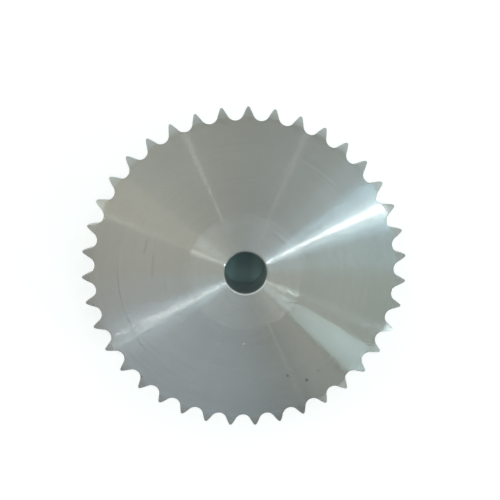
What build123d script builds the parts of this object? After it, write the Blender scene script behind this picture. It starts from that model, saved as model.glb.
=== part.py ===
"""Simplex roller-chain sprocket with a hub on one side, in one solid. Millimetres, +Z up.

The origin is on the bore's axis, at the hub's end face. The part stands on that face, so the
toothed plate is on top with its plain face up. One tooth points along +X.
"""
from build123d import *
from math import acos, atan2, cos, degrees, hypot, pi, radians, sin, sqrt
import os

# Chain that the teeth take: 3/4 inch pitch, single strand
pitch = 19.05
roller_diameter = 12.07

# Teeth
tooth_count = 39
tooth_width = 11.1          # thickness of the plate
tip_above_pitch = 3.63      # from the pitch circle out to the tooth tips
seat_clearance = 0.27       # on the diameter, between a roller and its seat
seat_angle = 124.0          # how far round the roller the seat reaches, in degrees
flank_radius = 110.0        # the convex side of a tooth
relief_radius = 19.05       # the rounding of a tooth towards its tip, on both faces
relief_width = 2.0          # how much each face gives up at the tip

# Hub and bore
hub_diameter = 115.0
length_through_bore = 40.0
hub_edge_chamfer = 1.5
hub_root_fillet = 2.5       # where the hub meets the plate
bore_diameter = 32.0
bore_chamfer = 1.0

# The cutter for one gap starts and ends this far outside the blank
cutter_margin = 0.5

pitch_radius = pitch / sin(pi / tooth_count) / 2
tip_radius = pitch_radius + tip_above_pitch
seat_radius = (roller_diameter + seat_clearance) / 2
hub_radius = hub_diameter / 2
bore_radius = bore_diameter / 2
back_face = length_through_bore - tooth_width
plain_face = length_through_bore


def blank():
    """The turned blank: plate, hub and bore, before any gap is cut."""
    relief_depth = sqrt(relief_radius**2 - (relief_radius - relief_width) ** 2)
    relief_start = tip_radius - relief_depth
    halfway = relief_start + relief_depth / 2
    sagitta = relief_radius - sqrt(relief_radius**2 - (relief_depth / 2) ** 2)
    fillet_centre = (hub_radius + hub_root_fillet, back_face - hub_root_fillet)
    with BuildPart() as turned:
        with BuildSketch(Plane.XZ):
            with BuildLine():
                Polyline(
                    (bore_radius, plain_face - bore_chamfer),
                    (bore_radius, bore_chamfer),
                    (bore_radius + bore_chamfer, 0),
                    (hub_radius - hub_edge_chamfer, 0),
                    (hub_radius, hub_edge_chamfer),
                    (hub_radius, back_face - hub_root_fillet),
                )
                CenterArc(fillet_centre, hub_root_fillet, 180, -90)
                Line((hub_radius + hub_root_fillet, back_face), (relief_start, back_face))
                ThreePointArc(
                    (relief_start, back_face),
                    (halfway, back_face + sagitta),
                    (tip_radius, back_face + relief_width),
                )
                Line((tip_radius, back_face + relief_width), (tip_radius, plain_face - relief_width))
                ThreePointArc(
                    (tip_radius, plain_face - relief_width),
                    (halfway, plain_face - sagitta),
                    (relief_start, plain_face),
                )
                Polyline(
                    (relief_start, plain_face),
                    (bore_radius + bore_chamfer, plain_face),
                    (bore_radius, plain_face - bore_chamfer),
                )
            make_face()
        revolve(axis=Axis.Z)
    return turned.part


def gap_outline():
    """One tooth gap, centred on +X: the roller's seat, and a convex flank on each side."""
    half_seat = radians(seat_angle) / 2
    seat_end = (pitch_radius - seat_radius * cos(half_seat), seat_radius * sin(half_seat))
    # The flank's centre lies on the line from the seat's centre through the seat's end
    reach = seat_radius + flank_radius
    flank_centre = (pitch_radius - reach * cos(half_seat), reach * sin(half_seat))
    centre_distance = hypot(*flank_centre)
    outer_radius = tip_radius + cutter_margin
    opening = acos(
        (outer_radius**2 + centre_distance**2 - flank_radius**2) / (2 * outer_radius * centre_distance)
    )
    mouth_angle = atan2(flank_centre[1], flank_centre[0]) - opening
    mouth = (outer_radius * cos(mouth_angle), outer_radius * sin(mouth_angle))
    with BuildSketch() as gap:
        with BuildLine():
            CenterArc((pitch_radius, 0), seat_radius, 180 - seat_angle / 2, seat_angle)
            RadiusArc(seat_end, mouth, flank_radius)
            Line(mouth, (mouth[0], -mouth[1]))
            RadiusArc((mouth[0], -mouth[1]), (seat_end[0], -seat_end[1]), flank_radius)
        make_face()
    return gap.sketch


def sprocket():
    """The blank with its tooth gaps cut, one half-way between each two teeth."""
    half_step = 180 / tooth_count
    with BuildPart() as part:
        add(blank())
        with BuildSketch(Plane.XY.offset(back_face)):
            with PolarLocations(0, tooth_count, start_angle=half_step):
                add(gap_outline())
        extrude(amount=tooth_width, mode=Mode.SUBTRACT)
    return part.part


os.makedirs("parts", exist_ok=True)
result = sprocket()
export_step(result, "parts/sprocket.step")
print("solids", len(result.solids()), "volume", round(result.volume), "faces", len(result.faces()))
print("pitch circle", round(2 * pitch_radius, 2), "tips", round(2 * tip_radius, 2))
print("root", round(2 * (pitch_radius - seat_radius), 2))
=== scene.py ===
"""The looks of a simplex chain sprocket: its turned steel body, and the studio that it stands in."""

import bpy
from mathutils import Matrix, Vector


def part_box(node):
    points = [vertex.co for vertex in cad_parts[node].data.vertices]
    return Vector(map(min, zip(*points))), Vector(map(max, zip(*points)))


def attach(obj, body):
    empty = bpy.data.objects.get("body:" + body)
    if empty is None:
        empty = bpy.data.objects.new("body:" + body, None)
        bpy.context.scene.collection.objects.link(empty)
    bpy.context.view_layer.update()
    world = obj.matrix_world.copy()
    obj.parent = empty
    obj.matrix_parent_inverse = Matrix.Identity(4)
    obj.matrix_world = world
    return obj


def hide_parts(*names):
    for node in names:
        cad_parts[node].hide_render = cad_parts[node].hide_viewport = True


bl_info = {
    "name": "Chain Sprocket Looks",
    "version": (1, 0, 0),
    "blender": (4, 5, 0),
    "location": "View3D > Sidebar > Sprocket",
    "description": "Builds the detailed body, turned steel finish and studio of a chain sprocket",
    "category": "Add Mesh",
}

from math import acos, atan2, cos, hypot, pi, radians, sin, sqrt

import bmesh
import bpy
from bpy.props import FloatProperty, FloatVectorProperty, IntProperty, PointerProperty
from mathutils import Matrix, Vector

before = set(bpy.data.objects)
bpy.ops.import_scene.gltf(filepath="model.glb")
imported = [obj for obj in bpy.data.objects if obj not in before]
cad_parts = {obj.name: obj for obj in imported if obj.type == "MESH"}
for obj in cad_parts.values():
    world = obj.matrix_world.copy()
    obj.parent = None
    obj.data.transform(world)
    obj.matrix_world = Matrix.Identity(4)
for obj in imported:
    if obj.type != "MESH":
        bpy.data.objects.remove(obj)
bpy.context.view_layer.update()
node_low, node_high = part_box("sprocket")

MM = 0.001


# ---------------------------------------------------------------- sizes and colours

def length(name, description, millimetres):
    """A size that the user may change, kept in metres."""
    return FloatProperty(name=name, description=description, default=millimetres * MM,
                         min=0.0, subtype="DISTANCE", unit="LENGTH", precision=5)


def share(name, description, default, top=1.0):
    """A plain number from 0 up."""
    return FloatProperty(name=name, description=description, default=default, min=0.0, max=top)


def colour(name, description, default):
    """A colour that the user may change."""
    return FloatVectorProperty(name=name, description=description, default=default,
                               size=3, min=0.0, max=1.0, subtype="COLOR")


class SprocketSizes(bpy.types.PropertyGroup):
    """The measures of the toothed plate, its hub and its bore."""

    tooth_count: IntProperty(name="Teeth", description="Number of teeth", default=39, min=9)
    pitch: length("Pitch", "Chain pitch", 19.05)
    roller: length("Roller", "Diameter of the chain's rollers", 12.07)
    seat_clearance: length("Seat clearance", "Between a roller and its seat, on the diameter", 0.27)
    seat_angle: FloatProperty(name="Seat angle", description="How far round the roller a seat reaches",
                              default=radians(124), subtype="ANGLE", unit="ROTATION")
    flank_radius: length("Flank radius", "Convex side of a tooth", 110)
    tip_radius: FloatProperty(name="Tip radius", description="From the axis to the tooth tips",
                              default=node_high.x, subtype="DISTANCE", unit="LENGTH")
    tooth_width: length("Tooth width", "Thickness of the toothed plate", 11.1)
    relief_radius: length("Relief radius", "Rounding of both faces towards the tips", 19.05)
    relief_width: length("Relief width", "What each face gives up at the tips", 2)
    tip_rounding: length("Tip rounding", "Wear on the corners of a tooth tip", 0.55)
    edge_break: length("Edge break", "Small rounding along the tooth outline", 0.22)
    overall: FloatProperty(name="Length through bore", description="From the hub's end to the plain face",
                           default=node_high.z - node_low.z, subtype="DISTANCE", unit="LENGTH")
    hub: length("Hub diameter", "Diameter of the hub", 115)
    hub_chamfer: length("Hub chamfer", "On the hub's outer edge", 1.5)
    hub_fillet: length("Hub fillet", "Where the hub meets the plate", 2.5)
    bore: length("Bore", "Diameter of the bore", 32)
    bore_chamfer: length("Bore chamfer", "On both ends of the bore", 1)


class SteelFinish(bpy.types.PropertyGroup):
    """Bare stainless steel as the lathe leaves it."""

    steel: colour("Steel", "Bare turned steel", (0.62, 0.63, 0.62))
    stain: colour("Stain", "Dull film in the teeth and handling marks", (0.40, 0.40, 0.37))
    feed: length("Feed", "Spacing of the tool's grooves", 0.24)
    outer_slope: share("Outer slope", "Steepest side of the grooves outside the tool change", 0.335)
    inner_slope: share("Inner slope", "Steepest side of the grooves round the bore", 0.30)
    ridge_slope: share("Ridge slope", "Extra slope of the torn crests, round the bore", 0.30)
    chatter_slope: share("Chatter slope", "Steepest side of the chatter marks", 0.035)
    stroke_turn: share("Stroke turn", "How far short strokes turn off the round, in radians", 0.035)
    tool_change: length("Tool change", "Radius where the finish changes", 44)
    smooth_ring: share("Smooth ring", "Roughness of the brightest rings", 0.105)
    dull_ring: share("Dull ring", "Roughness of the dullest rings", 0.14)
    lay: share("Lay", "How strongly the finish runs round the axis", 1.0)


class StudioSetup(bpy.types.PropertyGroup):
    """Floor, light and camera."""

    floor: colour("Floor", "Pale floor", (0.86, 0.86, 0.86))
    floor_glow: share("Floor glow", "Light that the floor gives off itself", 0.47)
    # Painted shade: the tone of the dark patch of floor under the hub, which stands in for the shade seen
    # through the bore.
    pad: colour("Pad", "Dark pad under the hub", (0.24, 0.36, 0.375))
    room: colour("Room", "Even light from all round", (0.26, 0.245, 0.215))
    walls: FloatProperty(name="Walls", description="Added brightness of the white walls at eye level",
                         default=0.2, min=0)
    patches: FloatProperty(name="Patches", description="Strength of the soft patches of light",
                           default=1.0, min=0)
    lamps: FloatProperty(name="Lamps", description="Strength of the lamps", default=1.0, min=0)
    lens: FloatProperty(name="Lens", description="Focal length on a 36 mm sensor", default=40.32)


# ---------------------------------------------------------------- shader and node sums

class Wire:
    """A node's output that takes part in sums as a number does."""

    def __init__(self, board, socket):
        self.board, self.socket = board, socket

    def __add__(self, other):
        return self.board.sum("ADD", self, other)

    def __radd__(self, other):
        return self.board.sum("ADD", other, self)

    def __sub__(self, other):
        return self.board.sum("SUBTRACT", self, other)

    def __rsub__(self, other):
        return self.board.sum("SUBTRACT", other, self)

    def __mul__(self, other):
        return self.board.sum("MULTIPLY", self, other)

    def __rmul__(self, other):
        return self.board.sum("MULTIPLY", other, self)

    def __truediv__(self, other):
        return self.board.sum("DIVIDE", self, other)

    def __rtruediv__(self, other):
        return self.board.sum("DIVIDE", other, self)


class Board:
    """Builds the nodes of one tree."""

    def __init__(self, tree):
        self.tree = tree
        tree.nodes.clear()

    def node(self, kind, settings=None, sockets=None):
        """One node: its settings first, then the values or links of its sockets."""
        made = self.tree.nodes.new(kind)
        for name, value in (settings or {}).items():
            setattr(made, name, value)
        for key, value in (sockets or {}).items():
            if isinstance(value, Wire):
                self.tree.links.new(value.socket, made.inputs[key])
            else:
                made.inputs[key].default_value = value
        return made

    def out(self, made, key=0):
        return Wire(self, made.outputs[key])

    def sum(self, operation, *values, clamp=False):
        return self.out(self.node("ShaderNodeMath", {"operation": operation, "use_clamp": clamp},
                                  dict(enumerate(values))))

    def vector(self, operation, *values, result="Vector"):
        """A Vector Math node. The last value of a SCALE is its factor."""
        sockets = dict(enumerate(values))
        if operation == "SCALE":
            sockets = {0: values[0], "Scale": values[1]}
        return self.out(self.node("ShaderNodeVectorMath", {"operation": operation}, sockets), result)

    def pack(self, x, y, z):
        return self.out(self.node("ShaderNodeCombineXYZ", None, {0: x, 1: y, 2: z}))

    def parts(self, vector):
        made = self.node("ShaderNodeSeparateXYZ", None, {0: vector})
        return [self.out(made, axis) for axis in range(3)]

    def step(self, value, start, end):
        """0 up to start, 1 from end, and a smooth rise between."""
        made = self.node("ShaderNodeMapRange", {"interpolation_type": "SMOOTHSTEP"},
                         {"Value": value, "From Min": start, "From Max": end})
        return self.out(made, "Result")

    def blend(self, factor, first, second):
        """Between two colours."""
        made = self.node("ShaderNodeMix", {"data_type": "RGBA"},
                         {0: factor, 6: opaque(first), 7: opaque(second)})
        return self.out(made, 2)

    def noise(self, vector, scale, detail):
        """From 0 to 1, and 0.5 on the whole."""
        return self.out(self.node("ShaderNodeTexNoise", {"noise_dimensions": "3D", "normalize": True},
                                  {"Vector": vector, "Scale": scale, "Detail": detail}))


def opaque(tone):
    """A tone as a colour socket takes it."""
    return tone if isinstance(tone, Wire) else (*tone[:3], 1.0)


# ---------------------------------------------------------------- the body

INNER_COLUMNS = 8      # round one tooth's sector, at the bore and hub
SEAT_STEPS, FLANK_STEPS, CORNER_STEPS, TIP_STEPS = 7, 4, 3, 2     # along half a tooth's outline
OUTER_COLUMNS = 4 * INNER_COLUMNS     # the same outline from gap to gap
FAN_ROWS = 10          # from the plate's flat out to the tooth outline
BREAK_STEPS = 3        # round a broken edge
FILLET_STEPS = 6
FAN_DEPTH = 16         # of the fan of rows inside the tips, in millimetres, as all the rows below
FACE_ROWS, BACK_ROWS = (24, 34, 44, 56, 68, 80), (80, 68)         # radii on the plate's faces
WIDENING = ((88, 2 * INNER_COLUMNS), (94, OUTER_COLUMNS), (100, OUTER_COLUMNS))     # radii and columns
HUB_ROWS, HUB_END_ROWS = (18, 9), (44, 30)     # heights on the hub's side, radii on its end
BORE_ROWS = (10, 20, 30)                       # heights in the bore
SHARP = radians(35)    # an edge that turns more than this stays sharp


def polar(radius, angle, centre=(0, 0)):
    """The point at this radius and angle from a centre."""
    return (centre[0] + radius * cos(angle), centre[1] + radius * sin(angle))


def turned(x, y, angle):
    """The point (x, y), turned about the axis."""
    return (x * cos(angle) - y * sin(angle), x * sin(angle) + y * cos(angle))


def tooth_outline(sizes):
    """One tooth from gap to gap, centred on +X, as a list of (x, y)."""
    half_step = pi / sizes.tooth_count
    pitch_radius = sizes.pitch / sin(half_step) / 2
    half_seat = sizes.seat_angle / 2
    seat = (sizes.roller + sizes.seat_clearance) / 2
    flank, tip, rounding = sizes.flank_radius, sizes.tip_radius, sizes.tip_rounding

    # Half a gap, from its middle on the X axis: the roller's seat, then the flank up to the tips
    reach = seat + flank
    centre = (pitch_radius - reach * cos(half_seat), reach * sin(half_seat))
    away = hypot(*centre)
    mouth = atan2(centre[1], centre[0]) - acos((tip**2 + away**2 - flank**2) / (2 * tip * away))
    half = []
    for i in range(SEAT_STEPS + 1):
        a = half_seat * i / SEAT_STEPS
        half.append((pitch_radius - seat * cos(a), seat * sin(a)))
    end = polar(tip, mouth)
    first = atan2(half[-1][1] - centre[1], half[-1][0] - centre[0])
    last = atan2(end[1] - centre[1], end[0] - centre[0])
    shorten = rounding / flank * (1 if last > first else -1)
    for i in range(1, FLANK_STEPS + 1):
        half.append(polar(flank, first + (last - shorten - first) * i / FLANK_STEPS, centre))

    # The worn corner curves from the flank to the tip, and the whole is turned to the tooth's own middle
    tip_start = mouth + rounding / tip
    onward = polar(tip, tip_start)
    flank_end = half[-1]
    for i in range(1, CORNER_STEPS + 1):
        t = i / CORNER_STEPS
        half.append(tuple((1 - t)**2 * p + 2 * t * (1 - t) * q + t * t * r
                          for p, q, r in zip(flank_end, end, onward)))
    half = [turned(x, y, -half_step) for x, y in half]
    tip_angle = atan2(half[-1][1], half[-1][0])
    for i in range(1, TIP_STEPS + 1):
        half.append(polar(tip, tip_angle * (1 - i / TIP_STEPS)))
    other = [(x, -y) for x, y in reversed(half[:-1])]
    return half + other


def drawn_in(outline, depth):
    """The outline moved into the metal by depth."""
    moved = []
    last = len(outline) - 1
    for i, (x, y) in enumerate(outline):
        if i in (0, last):
            away = hypot(x, y)
            moved.append((x - depth * x / away, y - depth * y / away))
            continue
        (ax, ay), (bx, by) = outline[i - 1], outline[i + 1]
        run = hypot(bx - ax, by - ay)
        nx, ny = (by - ay) / run, -(bx - ax) / run
        moved.append((x - depth * nx, y - depth * ny))
    return moved


def relief_drop(sizes, radius):
    """How far a face has given way at a radius."""
    rounding = sizes.relief_radius
    start = sizes.tip_radius - sqrt(rounding**2 - (rounding - sizes.relief_width)**2)
    run = max(0.0, radius - start)
    return rounding - sqrt(rounding**2 - run * run)


def sector_rows(sizes):
    """Rings of points round the closed section of one tooth's sector."""
    half_step = pi / sizes.tooth_count
    top, back = sizes.overall, sizes.overall - sizes.tooth_width
    hub, bore = sizes.hub / 2, sizes.bore / 2
    fan_base = sizes.tip_radius - FAN_DEPTH * MM
    outline = tooth_outline(sizes)

    def ring(radius, z, columns):
        step = 2 * half_step / columns
        return [Vector((*polar(radius, i * step - half_step), z)) for i in range(columns + 1)]

    def rim(depth, z_of):
        return [Vector((x, y, z_of(hypot(x, y)))) for x, y in drawn_in(outline, depth)]

    def front(radius):
        return top - relief_drop(sizes, radius)

    def rear(radius):
        return back + relief_drop(sizes, radius)

    def fan(face):
        base = ring(fan_base, face(fan_base), OUTER_COLUMNS)
        edge = rim(sizes.edge_break, face)
        rows = []
        for i in range(FAN_ROWS):
            t = i / FAN_ROWS
            row = []
            for p, q in zip(base, edge):
                radius = hypot(p.x, p.y) * (1 - t) + hypot(q.x, q.y) * t
                angle = atan2(p.y, p.x) * (1 - t) + atan2(q.y, q.x) * t
                row.append(Vector((*polar(radius, angle), face(radius))))
            rows.append(row)
        return rows + [edge]

    def broken(face, inward):
        """From a face over its rounded edge to the wall."""
        rows = []
        for i in range(1, BREAK_STEPS + 1):
            a = pi / 2 * i / BREAK_STEPS
            depth = sizes.edge_break * (1 - sin(a))
            drop = inward * sizes.edge_break * (1 - cos(a))
            rows.append(rim(depth, lambda radius: face(radius) + drop))
        return rows

    def widening(z):
        return [ring(radius * MM, z, columns) for radius, columns in WIDENING]

    rows = [ring(bore + sizes.bore_chamfer, top, INNER_COLUMNS)]
    rows += [ring(radius * MM, top, INNER_COLUMNS) for radius in FACE_ROWS]
    rows += widening(top) + fan(front) + broken(front, -1)
    rows += [rim(0, lambda radius: (top + back) / 2)]
    rows += broken(rear, 1)[::-1] + fan(rear)[::-1] + widening(back)[::-1]
    rows += [ring(radius * MM, back, INNER_COLUMNS) for radius in BACK_ROWS]
    for i in range(FILLET_STEPS + 1):
        a = pi / 2 * i / FILLET_STEPS
        rows.append(ring(hub + sizes.hub_fillet * (1 - sin(a)),
                         back - sizes.hub_fillet * (1 - cos(a)), INNER_COLUMNS))
    rows += [ring(hub, height * MM, INNER_COLUMNS) for height in HUB_ROWS]
    rows += [ring(hub, sizes.hub_chamfer, INNER_COLUMNS), ring(hub - sizes.hub_chamfer, 0, INNER_COLUMNS)]
    rows += [ring(radius * MM, 0, INNER_COLUMNS) for radius in HUB_END_ROWS]
    rows += [ring(bore + sizes.bore_chamfer, 0, INNER_COLUMNS)]
    rows += [ring(bore, sizes.bore_chamfer, INNER_COLUMNS)]
    rows += [ring(bore, height * MM, INNER_COLUMNS) for height in BORE_ROWS]
    rows += [ring(bore, top - sizes.bore_chamfer, INNER_COLUMNS)]
    return rows


def sector_mesh(sizes):
    """One tooth's share of the body, open along its two sides."""
    shape = bmesh.new()
    rings = [[shape.verts.new(p) for p in row] for row in sector_rows(sizes)]
    for a, b in zip(rings, rings[1:] + rings[:1]):
        if len(a) == len(b):
            for i in range(len(a) - 1):
                shape.faces.new((a[i], b[i], b[i + 1], a[i + 1]))
            continue
        few, many = (a, b) if len(a) < len(b) else (b, a)
        for i in range(len(few) - 1):
            m = many[2 * i: 2 * i + 3]
            shape.faces.new((few[i], m[0], m[1]))
            shape.faces.new((few[i], m[1], few[i + 1]))
            shape.faces.new((few[i + 1], m[1], m[2]))
    mesh = bpy.data.meshes.new("tooth_sector")
    shape.to_mesh(mesh)
    shape.free()
    return mesh


def ring_of_sectors():
    """A tree that sets its sector round the Z axis, once for each tooth."""
    tree = bpy.data.node_groups.new("ring_of_sectors", "GeometryNodeTree")
    tree.interface.new_socket("Sector", in_out="INPUT", socket_type="NodeSocketGeometry")
    tree.interface.new_socket("Teeth", in_out="INPUT", socket_type="NodeSocketInt")
    tree.interface.new_socket("Finish", in_out="INPUT", socket_type="NodeSocketMaterial")
    tree.interface.new_socket("Body", in_out="OUTPUT", socket_type="NodeSocketGeometry")
    board = Board(tree)
    given = board.node("NodeGroupInput")
    sector, teeth, finish = (board.out(given, key) for key in ("Sector", "Teeth", "Finish"))
    places = board.out(board.node("GeometryNodePoints", None, {"Count": teeth}))
    turn = board.out(board.node("GeometryNodeInputIndex")) * (2 * pi) / teeth
    copies = board.node("GeometryNodeInstanceOnPoints", None,
                        {"Points": places, "Instance": sector, "Rotation": board.pack(0, 0, turn)})
    solid = board.node("GeometryNodeRealizeInstances", None, {"Geometry": board.out(copies)})
    painted = board.node("GeometryNodeSetMaterial", None,
                         {"Geometry": board.out(solid), "Material": finish})
    board.node("NodeGroupOutput", None, {"Body": board.out(painted)})
    return tree


def grown(carrier, tree, inputs):
    """The plain mesh that a tree makes of a carrier object."""
    modifier = carrier.modifiers.new("grow", "NODES")
    modifier.node_group = tree
    for item in tree.interface.items_tree:
        if item.in_out == "INPUT" and item.name in inputs:
            modifier[item.identifier] = inputs[item.name]
    bpy.context.view_layer.update()
    graph = bpy.context.evaluated_depsgraph_get()
    mesh = bpy.data.meshes.new_from_object(carrier.evaluated_get(graph), depsgraph=graph)
    bpy.data.objects.remove(carrier)
    return mesh


def closed_body(mesh):
    """Welds the sectors, turns every face outwards and keeps the machined edges sharp."""
    shape = bmesh.new()
    shape.from_mesh(mesh)
    bmesh.ops.remove_doubles(shape, verts=shape.verts, dist=1e-6)
    bmesh.ops.recalc_face_normals(shape, faces=shape.faces)
    if any(len(edge.link_faces) != 2 for edge in shape.edges):
        raise RuntimeError("the sprocket's body is not closed")
    for face in shape.faces:
        face.smooth = True
    for edge in shape.edges:
        edge.smooth = edge.calc_face_angle() < SHARP
    shape.to_mesh(mesh)
    shape.free()


# ---------------------------------------------------------------- the finish

# Marks on the plain face, in millimetres and degrees. A strength below 0 is a dark mark; one above 0 is a
# painted glint, steel painted brighter where a speck, an arc or the edge of a scratch or nick catches the
# light.
# Round the axis: radius, width, bearing of the middle, angle to each end, strength. The outer half
# of the angle fades out.
RING_MARKS_AND_GLINTS = (
    (95.2, 0.5, 196, 17, -0.12), (95.0, 0.5, 178, 20, -0.05), (93.0, 0.5, 58, 12, 0.10),
    (91.7, 0.5, 47, 5, -0.08), (36.5, 1.1, 49, 14, -0.10), (41.0, 0.9, 44, 13, -0.08),
    (38.6, 0.8, 46, 13, 0.05), (46.0, 0.8, 42, 9, -0.06), (76.8, 1.6, 168, 5, -0.07),
    (69.4, 1.6, 178, 9, -0.07), (61.2, 1.5, 193, 6, -0.05), (84.6, 1.2, 157, 4, -0.05),
)
# Straight: start x, start y, end x, end y, width, strength.
SCRATCHES_AND_GLINTS = (
    (29.5, -21.3, 39.5, -20.8, 0.6, -0.34), (30.0, -22.3, 38.5, -21.9, 0.5, 0.10),
    (-86.4, -39.2, -81.0, -50.5, 0.5, -0.16), (-81.0, -50.5, -74.9, -61.4, 0.5, -0.14),
    (-112.4, -30.0, -108.5, -37.6, 1.6, -0.20),
)
# Round: radius, bearing, size, strength.
PITS_AND_GLINTS = (
    (87.3, 295.2, 1.4, -0.50), (97.0, 302.6, 1.8, -0.55), (95.2, 309.4, 1.4, -0.50),
    (103.8, 316.3, 1.1, -0.30), (58.2, 252.8, 1.0, 0.25), (54.9, 271.8, 1.3, 0.60),
    (75.0, 25.7, 0.9, -0.20), (87.6, 135.1, 1.3, 0.12), (113.2, 228.5, 1.5, -0.55),
    (114.3, 228.0, 1.2, 0.45),
)


# Bands of radius, in millimetres: where each begins to show, and where it shows fully.
BEYOND_BORE = (16.2, 16.8)
DARKER_OUTSIDE = (78, 110)
STAINED_TEETH = (106, 121)
TOOTH_WALLS = (108, 110)
CALM_RIM = (110, 115)
DULL_RELIEF = (112, 117)
DARKER_TIPS = (118.5, 122)
# The same, measured from the radius of the tool change, for what ends there.
TORN_END = (-1.2, 1.2)
STEEP_END = (-7, 5)
# The same, measured up from the plain face.
FACE_DEPTH = (-1.5, -1.0)
# The same, for how far a surface faces along the axis: 1 on a flat face, 0 on a wall.
CHAMFERS = (0.3, 0.5)
FLATS = (0.5, 0.8)
# The same, for a noise, which runs from 0 to 1.
POLISHED = (0.3, 0.75)
CLOUDED = (0.25, 0.85)
BANDED = (0.3, 0.7)
SOILED = (0.42, 0.72)

# Noise drawn out round the axis: how fine along the profile, how fine round the axis, and its detail.
SPACING_DRIFT = (0.3, 0.01, 1.0)
DEPTH_BANDS = (0.35, 0.015, 3.0)
WAVES = (0.8, 0.02, 2.0)
SHORT_STROKES = (1.1, 0.09, 1.0)
POLISH_RINGS = (1.2, 0.03, 3.0)
# Noise in clouds: how fine, and its detail.
CLOUDS = (0.022, 3.0)
DIRT = (0.09, 3.0)
GRAIN = (0.9, 2.0)
# Noise on a tooth's wall: how fine along the outline, how fine from face to face, and its detail.
MILLING = (1.6, 0.12, 2.0)

CHATTER_SPACING = 1.57     # in grooves, as the two drifts
GROOVE_DRIFT, CHATTER_DRIFT = 2.0, 3.0
BAND_DEPTH = 0.1           # how much deeper or shallower than the mean the bands make the grooves
TEAR_POWER = 6.0           # the higher, the narrower the torn crests
CALMER = 0.4               # share of the grooves' slope that the rim gives up
WAVE_SLOPE = 0.06
MILLING_SLOPE = 0.30
GRAIN_DEPTH = 0.14         # these three are shares of the steel's tone
BRIGHTER_NEAR = 0.05       # round the bore
DARKER_BEYOND = 0.06       # towards the rim

# What dulls the steel, and how much it adds to the roughness.
DULLED = {
    "marks": 0.3,
    "tooth_walls": 0.16,
    "torn_crests": 0.22,
    "relief": 0.22,
    "bore_lip": 0.24,
    "bore": 0.04,
}

# What stains the steel, and how much it adds to the film. At the tips the film only makes the steel
# darker towards their ends.
STAINED = {
    "clouds": 0.10,
    "bands": 0.05,
    "tips": 0.21,
    "teeth": 0.35,
    "strokes": 0.10,
}


def towards(bearing, away=1.0):
    """The point at this bearing, in degrees, and this far from the axis."""
    return (*polar(away, radians(bearing)), 0)


class Place:
    """Where a point of the steel lies, in millimetres, and which way its surface faces."""

    def __init__(self, b):
        self.board = b
        self.point = b.vector("SCALE", b.out(b.node("ShaderNodeTexCoord"), "Object"), 1 / MM)
        self.x, self.y, self.z = b.parts(self.point)
        self.flat = b.pack(self.x, self.y, 0)
        self.radius = b.sum("SQRT", self.x * self.x + self.y * self.y)
        self.outward = b.pack(self.x / self.radius, self.y / self.radius, 0)
        self.normal = b.out(b.node("ShaderNodeNewGeometry"), "Normal")
        self.facing = b.parts(self.normal)
        self.along = self.radius + self.z       # grows along a face and along a cylinder

    def streaky(self, along, across, detail):
        """Noise that is drawn out round the axis."""
        vector = self.board.pack(self.along * along, self.x * across, self.y * across)
        return self.board.noise(vector, 1.0, detail)


class Cut:
    """What the tools have left on the steel: the lathe's grooves, and the milled walls of the teeth."""

    def __init__(self, b, at, finish):
        change, feed = finish.tool_change / MM, finish.feed / MM
        # The drift keeps the grooves from lying at one even spacing
        drift = at.streaky(*SPACING_DRIFT)
        wander = drift * GROOVE_DRIFT
        self.saw = b.sum("FRACT", at.along / feed + wander) * 2 - 1
        wander = drift * CHATTER_DRIFT
        self.chatter = b.sum("FRACT", at.along / (feed * CHATTER_SPACING) - wander) * 2 - 1
        # A worn tool leaves its grooves flat at the bottom
        self.hollow = b.sum("ABSOLUTE", self.saw)
        # Round the bore, inside the tool change, the grooves have steep torn crests between them
        self.near = 1 - b.step(at.radius, *(change + offset for offset in STEEP_END))
        inner = 1 - b.step(at.radius, *(change + offset for offset in TORN_END))
        self.torn = b.sum("POWER", self.hollow, TEAR_POWER) * inner
        flat = b.step(b.sum("ABSOLUTE", at.facing[2]), *FLATS)
        self.wall = b.step(at.radius, *TOOTH_WALLS) * (1 - flat)
        self.bands = at.streaky(*DEPTH_BANDS)
        self.strokes = at.streaky(*SHORT_STROKES) - 0.5


def grooved(b, at, finish, cut):
    """The surface's normal, tilted along the profile by the grooves and round the axis by strokes."""
    outer = cut.hollow * finish.outer_slope
    calm = 1 - b.step(at.radius, *CALM_RIM) * CALMER
    steep = (outer + cut.near * (finish.inner_slope - outer)) * calm
    waves = at.streaky(*WAVES) - 0.5
    depth = 1 - BAND_DEPTH + cut.bands * (2 * BAND_DEPTH)
    slope = (cut.saw * (steep * depth + cut.torn * finish.ridge_slope)
             + cut.chatter * finish.chatter_slope + waves * WAVE_SLOPE)
    skew = slope * cut.strokes * finish.stroke_turn

    # The milled walls of the teeth have marks across the wall, from face to face, in place of grooves
    across, along, detail = MILLING
    passes = b.noise(b.pack(at.x * across, at.y * across, at.z * along), 1.0, detail) - 0.5
    slope = slope * (1 - cut.wall)
    skew = skew * (1 - cut.wall) + passes * cut.wall * MILLING_SLOPE

    nx, ny, nz = at.facing
    out_x, out_y, _ = b.parts(at.outward)
    along_profile = b.pack(out_x * nz, out_y * nz, (nx * out_x + ny * out_y) * -1)
    around = b.pack(out_y * -1, out_x, 0.0)
    tilt = b.vector("ADD", b.vector("SCALE", along_profile, slope), b.vector("SCALE", around, skew))
    return b.vector("NORMALIZE", b.vector("ADD", at.normal, tilt))


def ring_mark(b, at, mark):
    """Strength of a mark along a circle round the axis."""
    away, width, bearing, reach, strength = mark
    facing = b.vector("DOT_PRODUCT", at.outward, towards(bearing), result="Value")
    ends = b.step(facing, cos(radians(reach)), cos(radians(reach / 2)))
    return (1 - b.step(b.sum("ABSOLUTE", at.radius - away), 0, width)) * ends * strength


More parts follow.
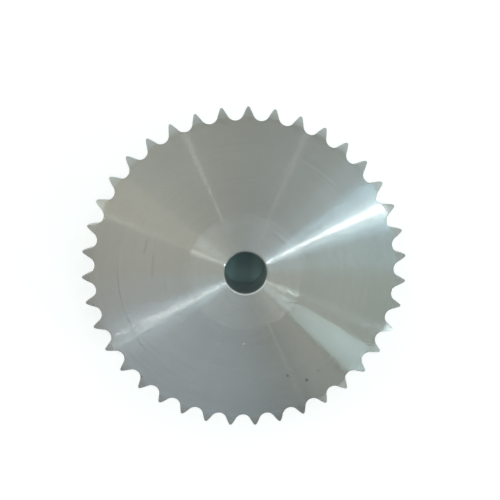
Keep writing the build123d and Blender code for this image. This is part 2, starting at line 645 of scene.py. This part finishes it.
def scratch(b, at, mark):
    """Strength of a straight mark."""
    start_x, start_y, end_x, end_y, width, strength = mark
    run = Vector((end_x - start_x, end_y - start_y, 0))
    from_start = b.vector("SUBTRACT", at.flat, (start_x, start_y, 0))
    share_along = b.sum("MULTIPLY", b.vector("DOT_PRODUCT", from_start, tuple(run), result="Value"),
                        1 / run.length_squared, clamp=True)
    nearest = b.vector("SCALE", tuple(run), share_along)
    off = b.vector("DISTANCE", from_start, nearest, result="Value")
    return (1 - b.step(off, 0, width)) * strength


def pit(b, at, mark):
    """Strength of a round mark."""
    away, bearing, size, strength = mark
    off = b.vector("DISTANCE", at.flat, towards(bearing, away), result="Value")
    return (1 - b.step(off, 0, size)) * strength


def marks_and_painted_glints(b, at):
    """All marks of handling together, with the painted glints among them, only on the plain face."""
    marks = sum([ring_mark(b, at, mark) for mark in RING_MARKS_AND_GLINTS]
                + [scratch(b, at, mark) for mark in SCRATCHES_AND_GLINTS]
                + [pit(b, at, mark) for mark in PITS_AND_GLINTS])
    plain_face = b.step(at.z - node_high.z / MM, *FACE_DEPTH) * b.step(at.facing[2], *FLATS)
    return marks * plain_face


def dullness(b, at, finish, cut, marks):
    """The roughness: rings of changing polish, and the places that are duller."""
    polish = b.step(at.streaky(*POLISH_RINGS), *POLISHED)
    bored = 1 - b.step(at.radius, *BEYOND_BORE)
    dull = {
        "marks": b.sum("ABSOLUTE", marks),
        "tooth_walls": cut.wall,
        "torn_crests": cut.torn,
        "relief": b.step(at.radius, *DULL_RELIEF),
        "bore_lip": bored * b.step(at.facing[2], *CHAMFERS),
        "bore": bored,
    }
    return (finish.smooth_ring + polish * (finish.dull_ring - finish.smooth_ring)
            + sum(dull[name] * added for name, added in DULLED.items()))


def steel_tone(b, at, finish, cut, marks):
    """Bare steel under a thin film in clouds, rings and strokes, thicker on the teeth."""
    stains = {
        "clouds": b.step(b.noise(at.point, *CLOUDS), *CLOUDED),
        "bands": b.step(cut.bands, *BANDED),
        "tips": b.step(at.radius, *DARKER_TIPS),
        "teeth": b.step(at.radius, *STAINED_TEETH) * b.step(b.noise(at.point, *DIRT), *SOILED),
        "strokes": cut.strokes,
    }
    film = sum(stains[name] * added for name, added in STAINED.items())
    grain = (b.noise(at.point, *GRAIN) - 0.5) * GRAIN_DEPTH
    # The steel is made darker towards the rim.
    darker_to_rim = 1 - b.step(at.radius, *DARKER_OUTSIDE) * DARKER_BEYOND
    # Dark marks darken the steel and the painted glints brighten it; the steel is also brighter round the
    # bore.
    bright = (1 + marks + grain + cut.near * BRIGHTER_NEAR) * darker_to_rim
    return b.vector("SCALE", b.blend(film, finish.steel, finish.stain), bright)


def turned_steel(finish):
    """Bare steel with the lathe's grooves round the axis, the marks of handling, and painted glints."""
    steel = bpy.data.materials.new("turned_steel")
    steel.use_nodes = True
    b = Board(steel.node_tree)
    at = Place(b)
    cut = Cut(b, at, finish)
    marks = marks_and_painted_glints(b, at)
    shader = b.node("ShaderNodeBsdfPrincipled", None, {
        "Base Color": steel_tone(b, at, finish, cut, marks),
        "Metallic": 1.0,
        "Roughness": dullness(b, at, finish, cut, marks),
        "Anisotropic": finish.lay,
        "Anisotropic Rotation": 0.25,
        "Normal": grooved(b, at, finish, cut),
    })
    b.node("ShaderNodeOutputMaterial", None, {"Surface": b.out(shader)})
    return steel


# ---------------------------------------------------------------- operators

class SPROCKET_OT_turned_body(bpy.types.Operator):
    """Builds the sprocket's turned body with its teeth, hub and bore."""

    bl_idname = "sprocket.turned_body"
    bl_label = "Turned Body"

    def execute(self, context):
        sizes, finish = context.scene.sprocket_sizes, context.scene.sprocket_finish
        carrier = bpy.data.objects.new("tooth_sector", sector_mesh(sizes))
        context.scene.collection.objects.link(carrier)
        mesh = grown(carrier, ring_of_sectors(),
                     {"Teeth": sizes.tooth_count, "Finish": turned_steel(finish)})
        mesh.name = "turned_sprocket"
        closed_body(mesh)
        body = bpy.data.objects.new("turned_sprocket", mesh)
        context.scene.collection.objects.link(body)
        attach(body, "root")
        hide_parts("sprocket")
        return {"FINISHED"}


# The camera's place, in metres, and its turn.
EYE = Vector((-0.01740, 0.07926, 0.45221))
EYE_TURN = (radians(-8.62745), radians(-2.22434), radians(3.37994))

# Where each change begins and ends. The pad is painted shade: a dark patch of floor under the hub, seen
# only through the bore, painted lighter to both sides and darker from one end to the other; it is
# measured in millimetres from the axis.
SHADE_PAD_EDGE = (45, 55)        # the pad under the hub gives way to the floor
SHADE_PAD_LIGHTER_SIDES = (4, 12)        # it grows lighter to both sides
SHADE_PAD_DARKER_END = (-14, 6)       # it grows darker from the near side to the far one
WALL_TOP = (0.20, 0.36)    # the white walls end, as the sine of the angle above the floor
WALL_FAR = (-0.2, 0.5)     # they grow brighter from the near one to the far one, as a share of the way
FAR_WALL = 6.5             # how much the far one is brighter by
PATCH_FULL = 0.2           # share of a soft patch's reach within which it is full
SHADE_PAD_SIDE_LIGHT = 0.45       # to the pad's tone
SHADE_PAD_NEAR, SHADE_PAD_FAR = 1.2, 0.68     # its tone on the near side and the far one
FLOOR_RADIUS = 6.0         # in metres, as the lamps' distances and sizes

# A turned face shows each lamp as a streak through the axis. Each row gives the streak's bearing on
# the plain face, the lamp's lean along it, its distance, its size across and along, power and tone.
# The last lamps lean so far over that they mostly show on the steep crests round the bore.
STREAKS = {
    "key": (30.0, 0.40, 3.0, 0.05, 0.12, 0.75, (0.97, 1.0, 0.95)),
    "key_edge": (29.7, 0.40, 3.0, 0.20, 0.20, 0.62, (0.90, 1.0, 1.0)),
    "key_haze": (30.8, 0.30, 3.0, 0.30, 0.20, 0.57, (0.55, 0.82, 1.0)),
    "key_left": (24.0, 0.30, 3.0, 0.60, 0.30, 0.44, (0.40, 0.75, 1.0)),
    "key_right": (43.2, 0.30, 3.0, 0.30, 0.30, 0.10, (0.50, 0.75, 1.0)),
    "far_side": (211.5, 0.54, 3.0, 0.03, 0.15, 0.20, (0.85, 1.0, 0.95)),
    "window": (326.6, 0.64, 3.0, 0.45, 0.40, 3.3, (0.65, 0.92, 1.0)),
    "window_haze": (331.5, 0.60, 3.0, 0.30, 0.40, 0.20, (0.88, 1.0, 1.0)),
    "window_frame": (309, 0.60, 3.0, 0.45, 0.40, 0.22, (1.0, 0.90, 0.85)),
    "slit": (116.7, 0.45, 3.0, 0.03, 0.20, 0.075, (0.90, 1.0, 0.92)),
    "faint_slit": (70.3, 0.45, 3.0, 0.06, 0.20, 0.060, (1.0, 0.88, 0.80)),
    "low_slit": (297.2, 0.45, 3.0, 0.03, 0.20, 0.016, (0.70, 0.80, 1.0)),
    "warm": (152, 0.54, 3.0, 0.50, 0.30, 0.36, (1.0, 0.74, 0.38)),
    "leaning_glow": (340.6, 0.82, 3.0, 0.25, 0.30, 9.5, (0.75, 0.95, 1.0)),
    "leaning_slit": (159.5, 0.93, 3.0, 0.06, 0.30, 3.6, (0.95, 1.0, 0.90)),
    "leaning_window": (311, 0.77, 3.0, 0.50, 0.40, 2.6, (0.95, 1.0, 1.0)),
    "leaning_frame": (308, 0.74, 3.0, 0.50, 0.40, 0.30, (1.0, 1.0, 1.0)),
    "leaning_front": (268, 0.72, 3.0, 0.80, 0.40, 0.50, (0.90, 1.0, 1.0)),
}

# Soft patches of light on the walls and the ceiling: bearing, angle from overhead, angle to the edge,
# tone. The last one is a dark doorway, which takes light away.
PATCHES = (
    (0, 82, 35, (0.56, 0.64, 0.70)),
    (45, 56, 36, (0.50, 0.62, 0.64)),
    (90, 52, 36, (0.31, 0.41, 0.41)),
    (137, 53, 34, (0.51, 0.65, 0.72)),
    (180, 56, 36, (0.17, 0.23, 0.20)),
    (338, 27, 24, (0.24, 0.36, 0.35)),
    (14, 19, 24, (0.09, 0.11, 0.10)),
    (161, 14, 24, (0.22, 0.24, 0.19)),
    (218, 25, 26, (0.18, 0.14, 0.14)),
    (259, 33, 24, (0.16, 0.28, 0.38)),
    (290, 62, 24, (-0.18, -0.17, -0.15)),
)


def light_panel(name, bearing, lean, away, wide, long, power, tone):
    """A flat lamp whose streak on the plain face runs through the axis at this bearing."""
    data = bpy.data.lights.new(name, "AREA")
    data.shape, data.size, data.size_y = "RECTANGLE", wide, long
    data.energy, data.color = power, tone
    middle = Vector((0, 0, node_high.z))
    eye = (EYE - middle).normalized()
    streak = Vector(towards(bearing))
    flat = streak * lean - Vector((eye.x, eye.y, 0))
    back = Vector((flat.x, flat.y, sqrt(1 - flat.length_squared)))
    up = (streak - back * streak.dot(back)).normalized()
    turn = Matrix((up.cross(back), up, back)).transposed().to_4x4()
    lamp = bpy.data.objects.new(name, data)
    lamp.matrix_world = Matrix.Translation(middle + back * away) @ turn
    lamp.visible_camera = False
    bpy.context.scene.collection.objects.link(lamp)


class SPROCKET_OT_studio(bpy.types.Operator):
    """Builds the floor, the soft light and the camera."""

    bl_idname = "sprocket.studio"
    bl_label = "Studio"

    def execute(self, context):
        setup = context.scene.sprocket_studio
        scene = context.scene
        scene.view_settings.view_transform = "Standard"
        self.camera(scene, setup)
        self.floor(scene, setup)
        self.room(scene, setup)
        self.lamps(setup)
        return {"FINISHED"}

    def camera(self, scene, setup):
        data = bpy.data.cameras.new("camera")
        data.lens, data.sensor_width = setup.lens, 36.0
        data.clip_start, data.clip_end = 0.01, 20.0
        eye = bpy.data.objects.new("camera", data)
        eye.location, eye.rotation_euler = EYE, EYE_TURN
        scene.collection.objects.link(eye)
        scene.camera = eye

    def floor(self, scene, setup):
        shape = bmesh.new()
        bmesh.ops.create_circle(shape, cap_ends=True, radius=FLOOR_RADIUS, segments=64)
        mesh = bpy.data.meshes.new("floor")
        shape.to_mesh(mesh)
        shape.free()
        floor = bpy.data.objects.new("floor", mesh)
        scene.collection.objects.link(floor)
        pale = bpy.data.materials.new("pale_floor")
        pale.use_nodes = True
        b = Board(pale.node_tree)
        x, y, _ = b.parts(b.vector("SCALE", b.out(b.node("ShaderNodeTexCoord"), "Object"), 1 / MM))
        # Painted shade under the hub: a dark patch with no glow, seen only through the bore, painted
        # lighter to both sides and darker towards one end.
        covered = 1 - b.step(b.sum("SQRT", x * x + y * y), *SHADE_PAD_EDGE)
        sides = 1 + b.step(b.sum("ABSOLUTE", x), *SHADE_PAD_LIGHTER_SIDES) * SHADE_PAD_SIDE_LIGHT
        ends = SHADE_PAD_NEAR - b.step(y, *SHADE_PAD_DARKER_END) * (SHADE_PAD_NEAR - SHADE_PAD_FAR)
        pad = b.vector("SCALE", tuple(setup.pad), sides * ends)
        tone = b.blend(covered, setup.floor, pad)
        glow = b.blend(covered, (setup.floor_glow,) * 3, (0, 0, 0))
        shader = b.node("ShaderNodeBsdfPrincipled", None,
                        {"Base Color": tone, "Roughness": 0.9, "Emission Color": glow,
                         "Emission Strength": 1.0})
        b.node("ShaderNodeOutputMaterial", None, {"Surface": b.out(shader)})
        mesh.materials.append(pale)

    def room(self, scene, setup):
        world = bpy.data.worlds.new("studio")
        world.use_nodes = True
        scene.world = world
        b = Board(world.node_tree)
        direction = b.out(b.node("ShaderNodeTexCoord"), "Object")
        _, far, up = b.parts(direction)
        white = (1 - b.step(up, *WALL_TOP)) * (1 + b.step(far, *WALL_FAR) * FAR_WALL) * setup.walls
        light = b.vector("ADD", tuple(setup.room), b.pack(white, white, white))
        for bearing, from_overhead, reach, tone in PATCHES:
            x, y, _ = towards(bearing, sin(radians(from_overhead)))
            middle = (x, y, cos(radians(from_overhead)))
            facing = b.vector("DOT_PRODUCT", direction, middle, result="Value")
            patch = b.step(facing, cos(radians(reach)), cos(radians(reach * PATCH_FULL)))
            light = b.vector("ADD", light, b.vector("SCALE", tone, patch * setup.patches))
        back = b.node("ShaderNodeBackground", None, {"Color": light, "Strength": 1.0})
        b.node("ShaderNodeOutputWorld", None, {"Surface": b.out(back)})

    def lamps(self, setup):
        for name, (bearing, lean, away, wide, long, power, tone) in STREAKS.items():
            light_panel(name, bearing, lean, away, wide, long, power * setup.lamps, tone)


class SPROCKET_PT_looks(bpy.types.Panel):
    """Sizes, finish and studio of the sprocket."""

    bl_label = "Sprocket"
    bl_idname = "SPROCKET_PT_looks"
    bl_space_type = "VIEW_3D"
    bl_region_type = "UI"
    bl_category = "Sprocket"

    def draw(self, context):
        for title, group, operator in (("Sizes", "sprocket_sizes", "sprocket.turned_body"),
                                       ("Finish", "sprocket_finish", None),
                                       ("Studio", "sprocket_studio", "sprocket.studio")):
            box = self.layout.box()
            box.label(text=title)
            held = getattr(context.scene, group)
            for name in held.__annotations__:
                box.prop(held, name)
            if operator:
                box.operator(operator)


CLASSES = (SprocketSizes, SteelFinish, StudioSetup,
           SPROCKET_OT_turned_body, SPROCKET_OT_studio, SPROCKET_PT_looks)


def register():
    for cls in CLASSES:
        bpy.utils.register_class(cls)
    bpy.types.Scene.sprocket_sizes = PointerProperty(type=SprocketSizes)
    bpy.types.Scene.sprocket_finish = PointerProperty(type=SteelFinish)
    bpy.types.Scene.sprocket_studio = PointerProperty(type=StudioSetup)


def unregister():
    del bpy.types.Scene.sprocket_studio
    del bpy.types.Scene.sprocket_finish
    del bpy.types.Scene.sprocket_sizes
    for cls in reversed(CLASSES):
        bpy.utils.unregister_class(cls)


def main():
    register()
    bpy.ops.sprocket.studio()
    bpy.ops.sprocket.turned_body()


if __name__ == "__main__":
    main()
